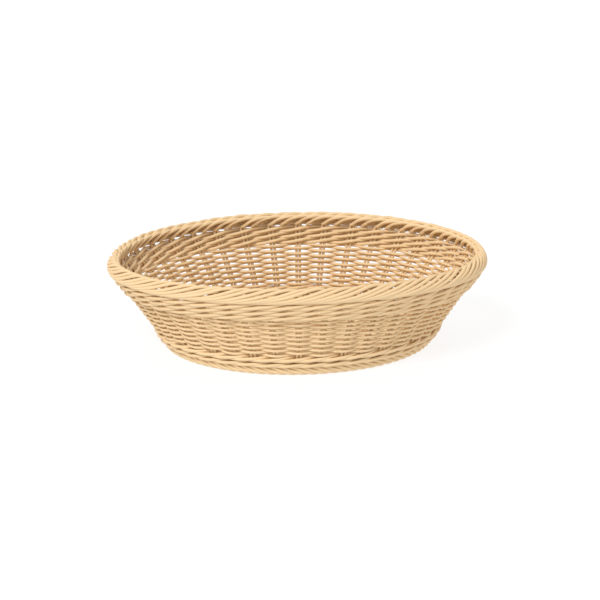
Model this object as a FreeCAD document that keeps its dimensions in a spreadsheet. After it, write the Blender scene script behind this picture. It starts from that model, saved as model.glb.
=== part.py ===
"""Oval bread basket woven from round plastic cane, as a parametric FreeCAD document.

Frame: +Z up, X along the length, origin on the ground under the middle of the foot.
Units are millimetres. Every cane is a solid of its own.
"""
import FreeCAD, Part
import math
import os

V = FreeCAD.Vector

DRIVING = [
    ("rim_length", 400.0),       # outside of the rim, end to end
    ("rim_width", 260.0),        # outside of the rim, side to side
    ("foot_length", 286.0),      # outside of the foot, end to end
    ("foot_width", 220.0),       # outside of the foot, side to side
    ("stake_diameter", 2.7),     # upright canes, in pairs
    ("cane_diameter", 2.6),      # woven canes
    ("row_gap", 0.2),            # between two plain rows
    ("wale_gap", 1.0),           # between the crossing canes of a wale
    ("piece_clearance", 0.15),   # between canes that pass each other
    ("foot_roll", 4.5),         # outer radius of the rolled foot
    ("rim_half_depth", 9.0),     # half the rolled rim's section, along its lean
    ("rim_half_thickness", 5.0), # half the rolled rim's section, across its lean
    ("rim_lean", 25.0),          # degrees that the rim's crest leans inwards
    ("end_dip", 3.5),            # how much lower the rim is at its two ends than at its sides
    ("bend_radius", 6.0),        # smallest bend of a woven cane
    ("bend_crown", 0.6),         # a bend passes up to this far inside its corner
    ("base_stick_pitch", 23.6),  # spacing of the stick pairs across the base
]
STATIONS = 40          # pairs of stakes round the wall
PLAIN_ROWS = 16
LOWER_WALE_ROWS = 2
UPPER_WALE_ROWS = 3
# Canes of one row of wale, by the stations they span. A cane steps three stations at a time, so
# it takes three laps of the wall for the steps to meet their start again.
WALE_SPANS = ((0, 42), (42, 81), (81, 120))
WALE_STEP = 3
RIM_STARTS = (0.25, 0.75)    # where each station's two canes turn into the rim, in stations
FOOT_STARTS = (0.16, 0.45)   # and into the foot, between the stakes
BASE_STICK_PAIRS = 11
BASE_GROUPS = 3        # nodes that share the base's weavers
BUTT = 0.06            # stations between the ends of a row and the stakes that hide them

doc = FreeCAD.newDocument("BreadBasket")
sheet = doc.addObject("Spreadsheet::Sheet", "Size")
for line, (alias, value) in enumerate(DRIVING, start=1):
    sheet.set("A%d" % line, alias)
    sheet.set("B%d" % line, str(value))
    sheet.setAlias("B%d" % line, alias)
doc.recompute()


def size(alias):
    return float(sheet.get(alias))


CANE = size("cane_diameter") / 2
STAKE = size("stake_diameter") / 2
CLEAR = size("piece_clearance")
LEAN = math.radians(size("rim_lean"))

# Centre line of the canes in the rolled rim, as an ellipse that leans inwards.
ROLL_DEPTH = size("rim_half_depth") - CANE
ROLL_THICKNESS = size("rim_half_thickness") - CANE
RIM_REACH = math.hypot(size("rim_half_depth") * math.sin(LEAN),
                       size("rim_half_thickness") * math.cos(LEAN))
RIM_RISE = math.hypot(size("rim_half_depth") * math.cos(LEAN),
                      size("rim_half_thickness") * math.sin(LEAN))
FOOT_CENTRE_LINE = size("foot_roll") - CANE

# Turns of a cane round a border, as (stations along, degrees round) pairs.
# The angle is 0 on the outside, 90 at the crest and 180 on the inside.
RIM_TURNS = [(0.0, -62), (0.5, -42), (1.1, -5), (1.7, 35), (2.1, 62), (2.4, 88),
             (2.6, 118), (2.8, 150), (3.0, 185), (3.15, 215)]
FOOT_TURNS = [(0.0, 120), (0.1, 90), (0.22, 55), (0.45, 10), (0.65, -30), (0.83, -70), (0.93, -90),
              (1.03, -110), (1.25, -150), (1.5, -195)]


def round_border(degrees, thickness, depth, lean):
    """Place on a border's section: distance outwards and height above its middle."""
    across = thickness * math.cos(math.radians(degrees))
    up = depth * math.sin(math.radians(degrees))
    return (across * math.cos(lean) - up * math.sin(lean),
            across * math.sin(lean) + up * math.cos(lean))


# Levels, from the ground up.
PLAIN_PITCH = 2 * CANE + size("row_gap")
WALE_PITCH = 4 * CANE + size("wale_gap")
FOOT_LEVEL = size("foot_roll")
STICK_LEVEL = 2 * size("foot_roll")
LOWER_WALE_START = 2 * size("foot_roll") + CLEAR
PLAIN_START = LOWER_WALE_START + LOWER_WALE_ROWS * WALE_PITCH
UPPER_WALE_START = PLAIN_START + PLAIN_ROWS * PLAIN_PITCH
RIM_BOTTOM = UPPER_WALE_START + UPPER_WALE_ROWS * WALE_PITCH + CLEAR
RIM_LEVEL = RIM_BOTTOM + CANE - round_border(RIM_TURNS[0][1], ROLL_THICKNESS, ROLL_DEPTH, LEAN)[1]

FOOT_AXES = (size("foot_length") / 2 - size("foot_roll"), size("foot_width") / 2 - size("foot_roll"))
RIM_AXES = (size("rim_length") / 2 - RIM_REACH, size("rim_width") / 2 - RIM_REACH)
STAKE_TOP_DOWN = 0.45 * ROLL_DEPTH      # stakes end inside the roll, below its middle
STAKE_TOP_LEVEL = RIM_LEVEL - STAKE_TOP_DOWN * math.cos(LEAN)
STAKE_TOP_AXES = [half + STAKE_TOP_DOWN * math.sin(LEAN) for half in RIM_AXES]


def angle_at(place):
    """Eccentric angle at a place that is counted in stations, whole or not."""
    return 2 * math.pi * place / STATIONS


def outward(axes, angle):
    return V(math.cos(angle) * axes[1], math.sin(angle) * axes[0], 0).normalize()


def dipped(angle, level):
    """Height of a level: the wall dips towards the two ends, most at the rim."""
    share = max(0.0, level - LOWER_WALE_START) / (RIM_LEVEL - LOWER_WALE_START)
    return level - size("end_dip") * share * math.cos(angle) ** 2


def on_oval(axes, angle, level):
    return V(axes[0] * math.cos(angle), axes[1] * math.sin(angle), dipped(angle, level))


def wall_axes(angle, level):
    """Half lengths of the oval that the straight stakes pass through at a level."""
    share = (dipped(angle, level) - FOOT_LEVEL) / (dipped(angle, STAKE_TOP_LEVEL) - FOOT_LEVEL)
    return [foot + (top - foot) * share for foot, top in zip(FOOT_AXES, STAKE_TOP_AXES)]


def wall_point(place, side, level):
    """Point of a woven cane: side is 1 outside the stakes, -1 inside and 0 between them."""
    angle = angle_at(place)
    axes = wall_axes(angle, level)
    normal = outward(axes, angle)
    rise = dipped(angle, STAKE_TOP_LEVEL) - FOOT_LEVEL
    spread = (on_oval(STAKE_TOP_AXES, angle, 0) - on_oval(FOOT_AXES, angle, 0)).dot(normal)
    lean_stretch = math.hypot(rise, spread) / rise
    reach = (STAKE + CANE + CLEAR) * lean_stretch + size("bend_crown")
    return on_oval(axes, angle, level) + normal * (side * reach)


def bent_path(points, radius):
    """Straight runs between the points, joined by tangent arcs."""
    edges = []
    start = points[0]
    for before, corner, after in zip(points, points[1:], points[2:]):
        back = (before - corner).normalize()
        ahead = (after - corner).normalize()
        half_turn = (math.pi - back.getAngle(ahead)) / 2
        room = 0.45 * min((before - corner).Length, (after - corner).Length)
        reach = min(radius * math.tan(half_turn), room)
        bend = reach / math.tan(half_turn)
        middle = corner + (back + ahead).normalize() * (bend / math.cos(half_turn) - bend)
        first, last = corner + back * reach, corner + ahead * reach
        edges.append(Part.LineSegment(start, first).toShape())
        edges.append(Part.Arc(first, middle, last).toShape())
        start = last
    edges.append(Part.LineSegment(start, points[-1]).toShape())
    return Part.Wire(edges)


def cane(points):
    """One woven cane through the points."""
    path = bent_path(points, size("bend_radius"))
    circle = Part.Wire(Part.Circle(points[0], points[1] - points[0], CANE).toShape())
    solid = path.makePipe(Part.Face(circle))
    expected = math.pi * CANE ** 2 * path.Length
    if abs(solid.Volume / expected - 1) > 0.01:
        raise RuntimeError("a cane is not its section times its length")
    return solid


def node(name, solids):
    """A node that holds one cane or a group of separate canes."""
    piece = doc.addObject("Part::Feature", name)
    piece.Label = name
    piece.Shape = solids[0] if len(solids) == 1 else Part.makeCompound(solids)
    return piece


def quarter_of(place):
    """The side of the basket that a station belongs to."""
    names = ("right", "back", "left", "front")
    return names[int(((place % STATIONS) + STATIONS / 8) // (STATIONS / 4)) % 4]


def make_stakes():
    """Pairs of straight stakes, one node for each side of the basket."""
    groups = {}
    for station in range(STATIONS):
        angle = angle_at(station)
        bottom = on_oval(FOOT_AXES, angle, FOOT_LEVEL)
        top = on_oval(STAKE_TOP_AXES, angle, STAKE_TOP_LEVEL)
        along = outward(FOOT_AXES, angle).cross(V(0, 0, 1))
        for side in (-1, 1):
            stake = doc.addObject("Part::Cylinder", "stake_cane")
            stake.setExpression("Radius", "Size.stake_diameter / 2")
            stake.Height = (top - bottom).Length
            stake.Placement = FreeCAD.Placement(
                bottom + along * (side * (STAKE + CLEAR / 2)),
                FreeCAD.Rotation(V(0, 0, 1), top - bottom))
            groups.setdefault("stakes_" + quarter_of(station), []).append(stake)
    made = []
    for name, canes in groups.items():
        group = doc.addObject("Part::Compound", name)
        group.Label = name
        group.Links = canes
        made.append(group)
    return made


def make_plain_rows():
    """Rows that pass over one pair of stakes and under the next, and end inside a pair."""
    made = []
    for row in range(PLAIN_ROWS):
        level = PLAIN_START + (row + 0.5) * PLAIN_PITCH
        first = row % 2
        points = [wall_point(first + BUTT, -1, level)]
        for step in range(1, STATIONS):
            points.append(wall_point(first + step, 1 if step % 2 else -1, level))
        points.append(wall_point(first + STATIONS - BUTT, -1, level))
        made.append(node("weave_row_%02d" % (row + 1), [cane(points)]))
    return made


def wale_cane(first, last, level):
    """A cane of a wale: outside two stations while it rises, then inside one while it drops."""
    swing = (2 * CANE + size("wale_gap")) / 2
    points = []
    for place in range(first, last, WALE_STEP):
        points.append(wall_point(place, 1, level - swing))
        points.append(wall_point(place + 1, 1, level + swing))
        points.append(wall_point(place + 1.5, 0, level + swing))
        points.append(wall_point(place + 2, -1, level))
        points.append(wall_point(place + 2.5, 0, level - swing))
    points[-1] = wall_point(last - 0.75, -0.5, level - 0.5 * swing)
    return cane(points)


def make_wales():
    made = []
    for name, start, rows in (("lower_wale", LOWER_WALE_START, LOWER_WALE_ROWS),
                              ("upper_wale", UPPER_WALE_START, UPPER_WALE_ROWS)):
        for row in range(rows):
            level = start + (row + 0.5) * WALE_PITCH
            canes = [wale_cane(first, last, level) for first, last in WALE_SPANS]
            made.append(node("%s_row_%d" % (name, row + 1), canes))
    return made


def border_cane(place, turns, axes, level, section, lean):
    """A cane wound partly round a border; turns are (stations along, degrees round) pairs."""
    thickness, depth = section
    points = []
    for along, degrees in turns:
        angle = angle_at(place + along)
        out, rise = round_border(degrees, thickness, depth, lean)
        points.append(on_oval(axes, angle, level + rise) + outward(axes, angle) * out)
    return cane(points)


def make_borders():
    """The rolled rim and the rolled foot, one node for each side."""
    made = []
    borders = (("rim_border", RIM_STARTS, RIM_TURNS, RIM_AXES, RIM_LEVEL,
                (ROLL_THICKNESS, ROLL_DEPTH), LEAN),
               ("foot_border", FOOT_STARTS, FOOT_TURNS, FOOT_AXES, FOOT_LEVEL,
                (FOOT_CENTRE_LINE, FOOT_CENTRE_LINE), 0.0))
    for name, starts, turns, axes, level, section, lean in borders:
        groups = {}
        for station in range(STATIONS):
            for start in starts:
                solid = border_cane(station + start, turns, axes, level, section, lean)
                groups.setdefault(name + "_" + quarter_of(station), []).append(solid)
        made += [node(group, canes) for group, canes in groups.items()]
    return made


def make_base():
    """Stick pairs across the base, and canes woven over and under them along it."""
    rim_of_base = [half - size("foot_roll") - CLEAR for half in FOOT_AXES]
    pitch = size("base_stick_pitch")
    stick_places = [pitch * (pair - (BASE_STICK_PAIRS - 1) / 2) for pair in range(BASE_STICK_PAIRS)]
    sticks = []
    for middle in stick_places:
        edge = abs(middle) + 2 * STAKE + CLEAR
        half = rim_of_base[1] * math.sqrt(1 - (edge / rim_of_base[0]) ** 2)
        for side in (-1, 1):
            stick = doc.addObject("Part::Cylinder", "base_cane")
            stick.setExpression("Radius", "Size.stake_diameter / 2")
            stick.Height = 2 * half
            stick.Placement = FreeCAD.Placement(
                V(middle + side * (STAKE + CLEAR / 2), half, STICK_LEVEL),
                FreeCAD.Rotation(V(0, 0, 1), V(0, -1, 0)))
            sticks.append(stick)
    group = doc.addObject("Part::Compound", "base_sticks")
    group.Label = "base_sticks"
    group.Links = sticks

    weave = [half - CANE for half in rim_of_base]
    inside_foot = [half - 2 * CANE for half in weave]
    reach = STAKE + CANE + CLEAR + size("bend_crown")
    row_count = int(2 * inside_foot[1] / PLAIN_PITCH)
    rows = []
    for row in range(row_count):
        across = PLAIN_PITCH * (row - (row_count - 1) / 2)
        woven = inside_foot[0] * math.sqrt(1 - (across / inside_foot[1]) ** 2)
        crossed = [pair for pair, middle in enumerate(stick_places) if abs(middle) < woven]
        half = min(weave[0] * math.sqrt(1 - (across / weave[1]) ** 2),
                   stick_places[crossed[-1]] + pitch - 2 * STAKE - CANE - CLEAR)
        sides = [1 if (pair + row) % 2 else -1 for pair in crossed]
        points = [V(-half, across, STICK_LEVEL)]
        points += [V(stick_places[pair], across, STICK_LEVEL + side * reach)
                   for pair, side in zip(crossed, sides)]
        points.append(V(half, across, STICK_LEVEL))
        rows.append(cane(points))
    made = [group]
    share = math.ceil(len(rows) / BASE_GROUPS)
    for name, start in zip(("front", "middle", "back"), range(0, len(rows), share)):
        made.append(node("base_weave_" + name, rows[start:start + share]))
    return made


pieces = make_stakes() + make_plain_rows() + make_wales() + make_borders() + make_base()
doc.recompute()

for item in doc.Objects:
    if "Invalid" in item.State or "Error" in item.State:
        raise RuntimeError("%s did not compute" % item.Label)
for piece in pieces:
    if piece.Shape.isNull() or not piece.Shape.isValid():
        raise RuntimeError("%s has no valid shape" % piece.Label)

os.makedirs("parts", exist_ok=True)
for piece in pieces:
    piece.Shape.exportStep("parts/%s.step" % piece.Label)
print("%d nodes, %d solids, rim at %.1f mm" % (
    len(pieces), sum(len(piece.Shape.Solids) for piece in pieces), RIM_LEVEL + RIM_RISE))
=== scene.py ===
"""Oval bread basket woven from round plastic cane: twin stakes, a plain-weave wall, twined bands,
a rolled rim and foot, and a woven base. Laid out as an add-on and run as a script."""
import math
import random

import bmesh
import bpy
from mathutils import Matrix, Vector


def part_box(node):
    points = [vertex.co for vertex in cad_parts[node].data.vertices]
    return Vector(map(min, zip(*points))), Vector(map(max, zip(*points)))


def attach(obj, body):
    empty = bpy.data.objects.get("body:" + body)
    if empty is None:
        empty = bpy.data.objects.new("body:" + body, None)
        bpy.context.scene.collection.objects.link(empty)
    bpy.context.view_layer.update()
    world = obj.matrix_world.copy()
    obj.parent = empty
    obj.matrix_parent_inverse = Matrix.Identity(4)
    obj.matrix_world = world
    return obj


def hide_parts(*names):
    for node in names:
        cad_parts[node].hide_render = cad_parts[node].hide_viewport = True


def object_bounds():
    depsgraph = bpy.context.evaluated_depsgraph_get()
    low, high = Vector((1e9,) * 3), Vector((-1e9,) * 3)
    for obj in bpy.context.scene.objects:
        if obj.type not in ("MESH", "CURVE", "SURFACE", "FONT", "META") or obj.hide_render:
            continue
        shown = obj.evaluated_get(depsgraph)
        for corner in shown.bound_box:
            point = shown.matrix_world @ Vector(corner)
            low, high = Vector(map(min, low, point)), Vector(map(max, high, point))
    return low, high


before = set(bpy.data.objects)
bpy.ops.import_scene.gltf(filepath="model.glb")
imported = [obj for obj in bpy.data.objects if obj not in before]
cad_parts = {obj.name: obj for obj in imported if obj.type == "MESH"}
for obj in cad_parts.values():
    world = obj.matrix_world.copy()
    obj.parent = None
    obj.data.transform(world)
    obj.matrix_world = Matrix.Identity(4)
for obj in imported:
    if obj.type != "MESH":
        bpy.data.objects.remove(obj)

bl_info = {
    "name": "Woven bread basket",
    "version": (1, 0, 0),
    "blender": (4, 5, 0),
    "location": "3D View > Sidebar > Basket",
    "description": "Weaves an oval bread basket cane by cane",
    "category": "Object",
}

CAD_BOX = [list(corner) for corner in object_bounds()]
MM = 0.001
STATIONS = 40
WALE_CANES = 3
BASE_STICK_PAIRS = 11
SIDES = ("right", "back", "left", "front")
CAMERA_DISTANCE = 3.0                    # metres from its aim, in front of the basket
CAMERA_RISE = math.radians(20.1)         # above the floor's plane
CAMERA_ROLL = math.radians(1.0)
CAMERA_LENS = 169.2
CAMERA_AIM = Vector((0.0024, 0, 0.0433))
SUN_WAY = Vector((0.75, 0.9, -1.5))      # from the front left, downwards
SUN_STRENGTH = 1.85
SKY_STRENGTH = 0.71
FLOOR_GLOW = 0.83                        # keeps the floor white round a faint shadow


def box_of(*nodes):
    """Lowest and highest corner of several nodes together."""
    boxes = [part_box(name) for name in nodes]
    low = [min(box[0][axis] for box in boxes) for axis in range(3)]
    high = [max(box[1][axis] for box in boxes) for axis in range(3)]
    return low, high


FOOT_BOX = box_of(*["foot_border_" + side for side in SIDES])
RIM_BOX = box_of(*["rim_border_" + side for side in SIDES])
STICK_BOX = box_of("base_sticks")
RIM_DEPTH = 7.0 * MM         # from the rim's top down to the middle of its section
RIM_THICKNESS = 6.0 * MM     # and from its outside in to that middle
FOOT_SPREAD = 0.6 * MM       # how far the foot's middle lies outside its roll's even place
PAIR_GAP = 0.6 * MM          # between the two stakes of a pair


class BasketSizes(bpy.types.PropertyGroup):
    """Sizes of the canes and of how they lie."""
    cane: bpy.props.FloatProperty(
        name="Woven cane", description="Diameter of the woven canes",
        default=2.9 * MM, unit="LENGTH")
    stake: bpy.props.FloatProperty(
        name="Stake", description="Diameter of the upright canes",
        default=3.1 * MM, unit="LENGTH")
    border: bpy.props.FloatProperty(
        name="Border cane", description="Diameter of the canes in the rim and the foot",
        default=3.75 * MM, unit="LENGTH")
    rim_lean: bpy.props.FloatProperty(
        name="Rim lean", description="How far the rim's crest leans inwards",
        default=math.radians(25), unit="ROTATION")
    hollow: bpy.props.FloatProperty(
        name="Hollow", description="How far the wall lies inside a straight flare at half height",
        default=1.6 * MM, unit="LENGTH")
    end_dip: bpy.props.FloatProperty(
        name="End dip", description="How much lower the rim is at its two ends",
        default=3.5 * MM, unit="LENGTH")
    row_rise: bpy.props.FloatProperty(
        name="Row rise", description="Height of the woven rows over their even height",
        default=1.018)
    wave: bpy.props.FloatProperty(
        name="Wave", description="How much higher a plain row lies outside the stakes than inside",
        default=0.75 * MM, unit="LENGTH")
    wale: bpy.props.FloatProperty(
        name="Wale cane", description="Diameter of the canes in the twined bands",
        default=3.6 * MM, unit="LENGTH")
    unevenness: bpy.props.FloatProperty(
        name="Unevenness", description="How far a cane strays from its even place by hand",
        default=0.22 * MM, unit="LENGTH")
    stake_sway: bpy.props.FloatProperty(
        name="Stake sway", description="How far a stake pair strays along the wall, in stations",
        default=0.05)
    foot_cane: bpy.props.FloatProperty(
        name="Foot cane", description="Diameter of the canes in the foot",
        default=3.8 * MM, unit="LENGTH")
    step: bpy.props.FloatProperty(
        name="Step", description="Length of one ring of a cane's mesh",
        default=2.2 * MM, unit="LENGTH")


class BasketColours(bpy.types.PropertyGroup):
    """Colours of the cane."""
    straw: bpy.props.FloatVectorProperty(
        name="Straw", description="Main colour of the cane", subtype="COLOR", size=3,
        default=(0.69, 0.475, 0.175))
    honey: bpy.props.FloatVectorProperty(
        name="Honey", description="Darker streaks in the cane", subtype="COLOR", size=3,
        default=(0.52, 0.29, 0.062))
    cream: bpy.props.FloatVectorProperty(
        name="Cream", description="Palest streaks in the cane", subtype="COLOR", size=3,
        default=(0.79, 0.60, 0.32))


def sizes():
    return bpy.context.scene.basket_sizes


def colours():
    return bpy.context.scene.basket_colours


# ---------------------------------------------------------------- the basket's outline

class Outline:
    """Ovals of the foot, the wall and the rim, read from the frame."""

    def __init__(self):
        self.foot_roll = (FOOT_BOX[1][2] - FOOT_BOX[0][2]) / 2
        self.foot_level = self.foot_roll
        self.foot = [FOOT_BOX[1][axis] - self.foot_roll + FOOT_SPREAD for axis in (0, 1)]
        self.lean = sizes().rim_lean
        self.rim_level = RIM_BOX[1][2] - RIM_DEPTH
        self.rim = [RIM_BOX[1][axis] - RIM_THICKNESS for axis in (0, 1)]
        self.top_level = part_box("stakes_front")[1][2]
        drop = self.rim_level - self.top_level
        self.top = [half + drop * math.tan(self.lean) for half in self.rim]
        self.angles = self.station_angles()

    def station_angles(self):
        """Equal steps of the oval's own angle, each with a small sway."""
        chance = random.Random(7)
        return [math.tau * (station + chance.uniform(-1, 1) * sizes().stake_sway) / STATIONS
                for station in range(STATIONS)]

    def dipped(self, angle, level):
        """Height of a level: the wall dips towards the two ends, most at the rim."""
        share = max(0.0, level - 2 * self.foot_roll) / (self.rim_level - 2 * self.foot_roll)
        return level - sizes().end_dip * share * math.cos(angle) ** 2

    def angle(self, place):
        lap, within = divmod(place, STATIONS)
        low = int(within)
        start = self.angles[low]
        end = self.angles[low + 1] if low + 1 < STATIONS else self.angles[0] + math.tau
        return math.tau * lap + start + (end - start) * (within - low)

    def wall(self, place, level, out=0.0):
        """Point on the wall at a height, or off it at right angles to the stakes."""
        angle = self.angle(place)
        level, top = self.dipped(angle, level), self.dipped(angle, self.top_level)
        share = (level - self.foot_level) / (top - self.foot_level)
        hollow = 4 * sizes().hollow * share * (1 - share)
        axes = [low + (high - low) * share - hollow for low, high in zip(self.foot, self.top)]
        point = Vector((axes[0] * math.cos(angle), axes[1] * math.sin(angle), level))
        round_wall = Vector((-axes[0] * math.sin(angle), axes[1] * math.cos(angle), 0)).normalized()
        up_wall = Vector(((self.top[0] - self.foot[0]) * math.cos(angle),
                          (self.top[1] - self.foot[1]) * math.sin(angle),
                          top - self.foot_level)).normalized()
        return point + round_wall.cross(up_wall) * out

    def border(self, place, axes, level, lean, thick, deep):
        """Point on a border's section: thick is across its lean, deep is along it."""
        angle = self.angle(place)
        point = Vector((axes[0] * math.cos(angle), axes[1] * math.sin(angle),
                        self.dipped(angle, level)))
        outward = Vector((axes[1] * math.cos(angle), axes[0] * math.sin(angle), 0)).normalized()
        out = thick * math.cos(lean) - deep * math.sin(lean)
        rise = thick * math.sin(lean) + deep * math.cos(lean)
        return point + outward * out + Vector((0, 0, rise))


# ---------------------------------------------------------------- canes

def cane_mesh(points, diameter, closed):
    """Mesh of one cane: a round tube on a smooth curve through the points."""
    curve = bpy.data.curves.new("cane", "CURVE")
    curve.dimensions = "3D"
    curve.bevel_depth = diameter / 2
    curve.bevel_resolution = 3
    curve.use_fill_caps = True
    curve.twist_mode = "MINIMUM"
    spline = curve.splines.new("BEZIER")
    spline.bezier_points.add(len(points) - 1)
    for knot, point in zip(spline.bezier_points, points):
        knot.co = point
        knot.handle_left_type = knot.handle_right_type = "AUTO"
    spline.use_cyclic_u = closed
    length = sum((b - a).length for a, b in zip(points, points[1:]))
    spline.resolution_u = max(3, round(length / (len(points) - 1) / sizes().step))
    holder = bpy.data.objects.new("cane", curve)
    bpy.context.scene.collection.objects.link(holder)
    graph = bpy.context.evaluated_depsgraph_get()
    mesh = bpy.data.meshes.new_from_object(holder.evaluated_get(graph))
    bpy.data.objects.remove(holder)
    bpy.data.curves.remove(curve)
    return mesh, length


def lay_canes(name, paths, diameter, finish, closed=False):
    """One piece made of canes, each with its own tone and its streaks to scale."""
    chance = random.Random(name + "0")
    bm = bmesh.new()
    tone = bm.verts.layers.float.new("tone")
    for points in paths:
        mesh, length = cane_mesh(points, diameter, closed)
        start_vert, start_face = len(bm.verts), len(bm.faces)
        bm.from_mesh(mesh)
        bpy.data.meshes.remove(mesh)
        bm.verts.ensure_lookup_table()
        bm.faces.ensure_lookup_table()
        own_tone, own_start = chance.random(), chance.random()
        for vert in bm.verts[start_vert:]:
            vert[tone] = own_tone
        uv = bm.loops.layers.uv.active
        for face in bm.faces[start_face:]:
            for loop in face.loops:
                loop[uv].uv = (own_start + loop[uv].uv[0] * length, loop[uv].uv[1])
    bmesh.ops.remove_doubles(bm, verts=bm.verts, dist=0.005 * MM)
    for face in bm.faces:
        face.smooth = True
    mesh = bpy.data.meshes.new(name)
    bm.to_mesh(mesh)
    bm.free()
    piece = bpy.data.objects.new(name, mesh)
    bpy.context.scene.collection.objects.link(piece)
    piece.data.materials.append(finish)
    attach(piece, "root")
    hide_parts(name)
    return piece


def side_of(place):
    return SIDES[int(((place % STATIONS) + STATIONS / 8) // (STATIONS / 4)) % 4]


# ---------------------------------------------------------------- finishes

def streak_group():
    """Shader group shared by the canes: streaks along each cane and a tone of its own."""
    group = bpy.data.node_groups.get("cane_streaks")
    if group:
        return group
    group = bpy.data.node_groups.new("cane_streaks", "ShaderNodeTree")
    face = group.interface
    for label, kind, value in (("Main", "NodeSocketColor", None), ("Dark", "NodeSocketColor", None),
                               ("Pale", "NodeSocketColor", None),
                               ("Streaks", "NodeSocketFloat", 0.5),
                               ("Tone range", "NodeSocketFloat", 0.3)):
        socket = face.new_socket(name=label, in_out="INPUT", socket_type=kind)
        if value is not None:
            socket.default_value = value
    for label, kind in (("Color", "NodeSocketColor"), ("Roughness", "NodeSocketFloat"),
                        ("Height", "NodeSocketFloat")):
        face.new_socket(name=label, in_out="OUTPUT", socket_type=kind)
    nodes, links = group.nodes, group.links
    given = nodes.new("NodeGroupInput")
    result = nodes.new("NodeGroupOutput")

    def noise(vector, scale, detail):
        texture = nodes.new("ShaderNodeTexNoise")
        texture.inputs["Scale"].default_value = scale
        texture.inputs["Detail"].default_value = detail
        links.new(vector, texture.inputs["Vector"])
        return texture.outputs["Fac"]

    def spread(value, low, high, to_low=0.0, to_high=1.0):
        ramp = nodes.new("ShaderNodeMapRange")
        for label, number in (("From Min", low), ("From Max", high),
                              ("To Min", to_low), ("To Max", to_high)):
            ramp.inputs[label].default_value = number
        links.new(value, ramp.inputs["Value"])
        return ramp.outputs["Result"]

    def maths(operation, first, second):
        node = nodes.new("ShaderNodeMath")
        node.operation = operation
        for socket, value in zip(node.inputs, (first, second)):
            if isinstance(value, (int, float)):
                socket.default_value = value
            else:
                links.new(value, socket)
        return node.outputs[0]

    def mix(amount, first, second):
        node = nodes.new("ShaderNodeMix")
        node.data_type = "RGBA"
        links.new(amount, node.inputs[0])
        links.new(first, node.inputs[6])
        links.new(second, node.inputs[7])
        return node.outputs[2]

    uv = nodes.new("ShaderNodeUVMap")
    uv.uv_map = "UVMap"
    stretch = nodes.new("ShaderNodeMapping")
    stretch.inputs["Scale"].default_value = (30.0, 7.0, 1.0)
    links.new(uv.outputs["UV"], stretch.inputs["Vector"])
    place = nodes.new("ShaderNodeTexCoord")
    own = nodes.new("ShaderNodeAttribute")
    own.attribute_name = "tone"

    streaks = spread(noise(stretch.outputs["Vector"], 1.0, 3.0), 0.35, 0.68)
    patches = spread(noise(place.outputs["Object"], 55.0, 2.0), 0.3, 0.7)
    tone = maths("MULTIPLY", own.outputs["Fac"], given.outputs["Tone range"])
    dark = maths("MULTIPLY", maths("MULTIPLY", streaks, given.outputs["Streaks"]), 0.9)
    dark = maths("ADD", dark, maths("MULTIPLY", tone, 0.8))
    pale = maths("MULTIPLY", maths("MULTIPLY", patches, maths("SUBTRACT", 1.0, streaks)), 0.55)
    colour = mix(dark, given.outputs["Main"], given.outputs["Dark"])
    colour = mix(pale, colour, given.outputs["Pale"])
    links.new(colour, result.inputs["Color"])
    links.new(spread(streaks, 0.0, 1.0, 0.36, 0.5), result.inputs["Roughness"])
    links.new(streaks, result.inputs["Height"])
    return group


def cane_finish(name, streaks, tone_range, bump):
    """Semi-matt plastic cane."""
    material = bpy.data.materials.get(name)
    if material:
        return material
    material = bpy.data.materials.new(name)
    material.use_nodes = True
    nodes, links = material.node_tree.nodes, material.node_tree.links
    shader = nodes["Principled BSDF"]
    group = nodes.new("ShaderNodeGroup")
    group.node_tree = streak_group()
    for label, colour in (("Main", colours().straw), ("Dark", colours().honey),
                          ("Pale", colours().cream)):
        group.inputs[label].default_value = (*colour, 1.0)
    group.inputs["Streaks"].default_value = streaks
    group.inputs["Tone range"].default_value = tone_range
    relief = nodes.new("ShaderNodeBump")
    relief.inputs["Strength"].default_value = bump
    relief.inputs["Distance"].default_value = 0.15 * MM
    links.new(group.outputs["Color"], shader.inputs["Base Color"])
    links.new(group.outputs["Roughness"], shader.inputs["Roughness"])
    links.new(group.outputs["Height"], relief.inputs["Height"])
    links.new(relief.outputs["Normal"], shader.inputs["Normal"])
    shader.inputs["IOR"].default_value = 1.49
    shader.inputs["Specular IOR Level"].default_value = 0.55
    return material


def woven_finish():
    return cane_finish("woven_cane", streaks=0.5, tone_range=0.4, bump=0.35)


def stake_finish():
    return cane_finish("stake_cane", streaks=0.4, tone_range=0.3, bump=0.3)


# ---------------------------------------------------------------- pieces

class BASKET_OT_stakes(bpy.types.Operator):
    """Stand the pairs of stakes round the wall"""
    bl_idname = "basket.stakes"
    bl_label = "Stakes"

    def execute(self, context):
        outline = Outline()
        groups = {side: [] for side in SIDES}
        for station in range(STATIONS):
            for hand in (-1, 1):
                apart = hand * (sizes().stake + PAIR_GAP) / 2
                points = []
                for share in (0.0, 0.33, 0.67, 1.0):
                    level = outline.foot_level + share * (outline.top_level - outline.foot_level)
                    ahead = outline.wall(station + 0.1, level) - outline.wall(station - 0.1, level)
                    points.append(outline.wall(station, level) + ahead.normalized() * apart)
                groups[side_of(station)].append(points)
        for side, paths in groups.items():
            lay_canes("stakes_" + side, paths, sizes().stake, stake_finish())
        return {"FINISHED"}


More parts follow.
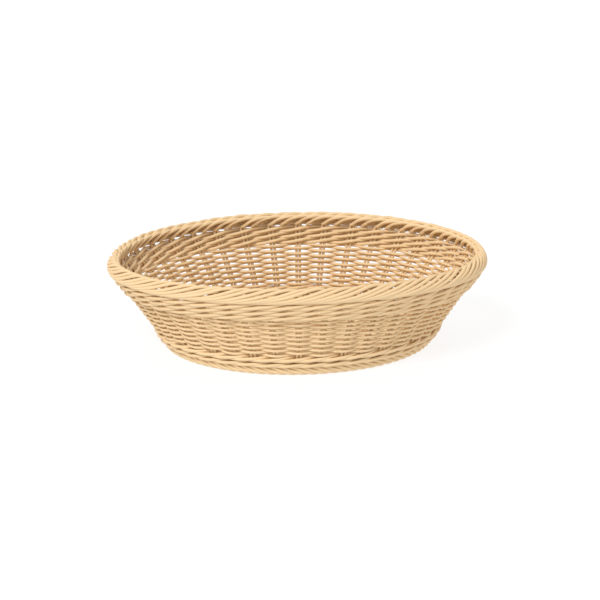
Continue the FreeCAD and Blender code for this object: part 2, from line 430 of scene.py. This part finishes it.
class BASKET_OT_plain_rows(bpy.types.Operator):
    """Weave the plain rows, over one pair of stakes and under the next"""
    bl_idname = "basket.plain_rows"
    bl_label = "Plain rows"

    def execute(self, context):
        outline = Outline()
        reach = (sizes().stake + sizes().cane) / 2 + 0.15 * MM
        chance = random.Random(3)
        rows = sorted(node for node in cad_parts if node.startswith("weave_row"))
        for row, name in enumerate(rows):
            low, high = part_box(name)
            level = (low[2] + high[2]) / 2 * sizes().row_rise
            points = []
            for station in range(STATIONS):
                side = 1 if (station + row) % 2 else -1
                stray = chance.gauss(0, sizes().unevenness) + side * sizes().wave
                points.append(outline.wall(station, level + stray, side * reach))
            lay_canes(name, [points], sizes().cane, woven_finish(), closed=True)
        return {"FINISHED"}


class BASKET_OT_wales(bpy.types.Operator):
    """Twine the bands of wale: each cane goes outside two pairs of stakes and inside one"""
    bl_idname = "basket.wales"
    bl_label = "Wales"

    def execute(self, context):
        outline = Outline()
        reach = (sizes().stake + sizes().wale) / 2
        for name in sorted(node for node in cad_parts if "wale_row" in node):
            low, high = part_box(name)
            level = (low[2] + high[2]) / 2 * sizes().row_rise
            swing = (high[2] - low[2] - sizes().wale) / 2 + 0.1 * MM
            points = []
            for place in range(0, WALE_CANES * STATIONS, WALE_CANES):
                points.append(outline.wall(place, level - 0.6 * swing, reach))
                points.append(outline.wall(place + 1, level + 0.6 * swing, reach + 0.6 * MM))
                points.append(outline.wall(place + 1.5, level + 0.8 * swing, 0.2 * reach))
                points.append(outline.wall(place + 2, level, -reach))
                points.append(outline.wall(place + 2.5, level - 0.8 * swing, 0.0))
            lay_canes(name, [points], sizes().wale, woven_finish(), closed=True)
        return {"FINISHED"}


# Places of a rim cane: stations along, then across and along the section's lean, in mm. It
# climbs the outside, dips into the groove behind the crest, and drops down the inside.
RIM_ROUTE = ((-0.9, 0.2, -7.4), (-0.3, 1.8, -7.5), (0.35, 3.2, -5.9), (0.75, 4.1, -3.6),
             (1.1, 4.4, -0.8), (1.45, 4.1, 2.4), (1.75, 2.9, 5.0), (2.0, 1.3, 5.8),
             (2.25, -0.3, 4.2), (2.5, -1.4, 5.4), (2.8, -2.4, 4.5), (3.05, -3.1, 2.0),
             (3.2, -3.4, -1.6), (3.35, -3.0, -5.2))
RIM_STARTS = (0.28, 0.72)    # where the two canes of a station set off
# Places of a foot cane: stations along, then outwards and up from the roll's middle, in mm.
FOOT_ROUTE = ((-0.45, -0.6, 4.6), (-0.2, 1.0, 4.9), (0.1, 2.5, 3.5), (0.45, 3.1, 0.6),
              (0.8, 2.6, -1.5), (1.05, 0.7, -2.5), (1.3, -1.6, -2.1), (1.55, -2.6, -0.2),
              (1.8, -2.2, 2.2), (2.05, -0.8, 3.2))


class BASKET_OT_rim_border(bpy.types.Operator):
    """Roll the rim: canes climb the outside, cross the crest and drop down the inside"""
    bl_idname = "basket.rim_border"
    bl_label = "Rim"

    def execute(self, context):
        outline = Outline()
        chance = random.Random(11)
        groups = {side: [] for side in SIDES}
        for count in range(2 * STATIONS):
            start = count // 2 + RIM_STARTS[count % 2] + chance.uniform(-0.04, 0.04)
            bulge, lift = (chance.gauss(0, sizes().unevenness) for axis in range(2))
            points = [outline.border(start + along, outline.rim, outline.rim_level, outline.lean,
                                     thick * MM + math.copysign(bulge, thick), deep * MM + lift)
                      for along, thick, deep in RIM_ROUTE]
            groups[side_of(count // 2)].append(points)
        for side, paths in groups.items():
            lay_canes("rim_border_" + side, paths, sizes().border, woven_finish())
        return {"FINISHED"}


class BASKET_OT_foot_border(bpy.types.Operator):
    """Roll the foot round the lower ends of the stakes"""
    bl_idname = "basket.foot_border"
    bl_label = "Foot"

    def execute(self, context):
        outline = Outline()
        groups = {side: [] for side in SIDES}
        for count in range(2 * STATIONS):
            start = (count + 0.5) / 2
            points = [outline.border(start + along, outline.foot, outline.foot_level, 0.0,
                                     out * MM, rise * MM)
                      for along, out, rise in FOOT_ROUTE]
            groups[side_of(count // 2)].append(points)
        for side, paths in groups.items():
            lay_canes("foot_border_" + side, paths, sizes().foot_cane, woven_finish())
        return {"FINISHED"}


class BASKET_OT_base(bpy.types.Operator):
    """Weave the base over and under its pairs of sticks"""
    bl_idname = "basket.base"
    bl_label = "Base"

    def execute(self, context):
        outline = Outline()
        stick = sizes().stake
        level = (STICK_BOX[0][2] + STICK_BOX[1][2]) / 2
        pitch = (STICK_BOX[1][0] - STICK_BOX[0][0] - 2 * stick) / (BASE_STICK_PAIRS - 1)
        middles = [pitch * (pair - (BASE_STICK_PAIRS - 1) / 2) for pair in range(BASE_STICK_PAIRS)]
        half_length = outline.wall(0, level)[0] - stick / 2
        half_width = STICK_BOX[1][1]
        sticks = []
        for middle in middles:
            half = half_width * math.sqrt(1 - (middle / half_length) ** 2)
            for hand in (-1, 1):
                across = middle + hand * (stick / 2 + 0.1 * MM)
                sticks.append([Vector((across, half * share, level)) for share in (-1, -0.3, 0.3, 1)])
        lay_canes("base_sticks", sticks, stick, stake_finish())

        reach = (stick + sizes().cane) / 2
        for name in ("base_weave_front", "base_weave_middle", "base_weave_back"):
            low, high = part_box(name)
            rows = round((high[1] - low[1]) / (sizes().cane + 0.05 * MM))
            row_pitch = (high[1] - low[1]) / rows
            paths = []
            for row in range(rows):
                across = low[1] + (row + 0.5) * row_pitch
                half = (half_length - sizes().cane) * math.sqrt(1 - (across / half_width) ** 2)
                index = round(across / row_pitch)
                points = [Vector((-half, across, level))]
                for pair, middle in enumerate(middles):
                    if abs(middle) < half - 2 * sizes().cane:
                        over = reach if (pair + index) % 2 else -reach
                        points.append(Vector((middle, across, level + over)))
                points.append(Vector((half, across, level)))
                paths.append(points)
            lay_canes(name, paths, sizes().cane, woven_finish())
        return {"FINISHED"}


# ---------------------------------------------------------------- stage

class BASKET_OT_stage(bpy.types.Operator):
    """Set the pale floor, the soft lights and the camera"""
    bl_idname = "basket.stage"
    bl_label = "Stage"

    def execute(self, context):
        scene = context.scene
        scene.view_settings.view_transform = "Standard"

        bm = bmesh.new()
        bmesh.ops.create_grid(bm, x_segments=1, y_segments=1, size=6.0)
        mesh = bpy.data.meshes.new("floor")
        bm.to_mesh(mesh)
        bm.free()
        floor = bpy.data.objects.new("floor", mesh)
        floor.location.z = CAD_BOX[0][2]
        scene.collection.objects.link(floor)
        paint = bpy.data.materials.new("floor_white")
        paint.use_nodes = True
        shader = paint.node_tree.nodes["Principled BSDF"]
        shader.inputs["Base Color"].default_value = (0.16, 0.16, 0.16, 1)
        shader.inputs["Emission Color"].default_value = (1.0, 1.0, 1.0, 1)
        shader.inputs["Emission Strength"].default_value = FLOOR_GLOW
        shader.inputs["Roughness"].default_value = 0.6
        shader.inputs["Specular IOR Level"].default_value = 0.2
        floor.data.materials.append(paint)

        world = bpy.data.worlds.new("studio")
        scene.world = world
        world.use_nodes = True
        backdrop = world.node_tree.nodes["Background"]
        backdrop.inputs["Color"].default_value = (1.0, 1.0, 1.0, 1)
        backdrop.inputs["Strength"].default_value = SKY_STRENGTH

        sun = bpy.data.lights.new("sun", "SUN")
        sun.angle = math.radians(25)
        sun.energy = SUN_STRENGTH
        lamp = bpy.data.objects.new("sun", sun)
        lamp.rotation_euler = SUN_WAY.to_track_quat("-Z", "Y").to_euler()
        scene.collection.objects.link(lamp)

        away = Vector((0, -math.cos(CAMERA_RISE), math.sin(CAMERA_RISE)))
        data = bpy.data.cameras.new("camera")
        data.lens = CAMERA_LENS
        data.sensor_width = 36.0
        data.clip_end = 50.0
        camera = bpy.data.objects.new("camera", data)
        camera.location = CAMERA_AIM + away * CAMERA_DISTANCE
        aim = (-away).to_track_quat("-Z", "Y").to_matrix().to_4x4()
        camera.rotation_euler = aim.to_euler()
        camera.rotation_euler.rotate_axis("Z", -CAMERA_ROLL)
        scene.collection.objects.link(camera)
        scene.camera = camera
        return {"FINISHED"}


class BASKET_PT_panel(bpy.types.Panel):
    """Lists the basket's sizes, colours and pieces"""
    bl_label = "Bread basket"
    bl_space_type = "VIEW_3D"
    bl_region_type = "UI"
    bl_category = "Basket"

    def draw(self, context):
        column = self.layout.column()
        for group in (context.scene.basket_sizes, context.scene.basket_colours):
            for label in group.__annotations__:
                column.prop(group, label)
        for operator in OPERATORS:
            column.operator(operator.bl_idname)


OPERATORS = (BASKET_OT_stakes, BASKET_OT_plain_rows, BASKET_OT_wales, BASKET_OT_rim_border,
             BASKET_OT_foot_border, BASKET_OT_base, BASKET_OT_stage)
CLASSES = (BasketSizes, BasketColours, *OPERATORS, BASKET_PT_panel)


def register():
    for cls in CLASSES:
        bpy.utils.register_class(cls)
    bpy.types.Scene.basket_sizes = bpy.props.PointerProperty(type=BasketSizes)
    bpy.types.Scene.basket_colours = bpy.props.PointerProperty(type=BasketColours)


def unregister():
    del bpy.types.Scene.basket_colours
    del bpy.types.Scene.basket_sizes
    for cls in reversed(CLASSES):
        bpy.utils.unregister_class(cls)


def main():
    register()
    bpy.ops.basket.stakes()
    bpy.ops.basket.plain_rows()
    bpy.ops.basket.wales()
    bpy.ops.basket.rim_border()
    bpy.ops.basket.foot_border()
    bpy.ops.basket.base()
    bpy.ops.basket.stage()


if __name__ == "__main__":
    main()
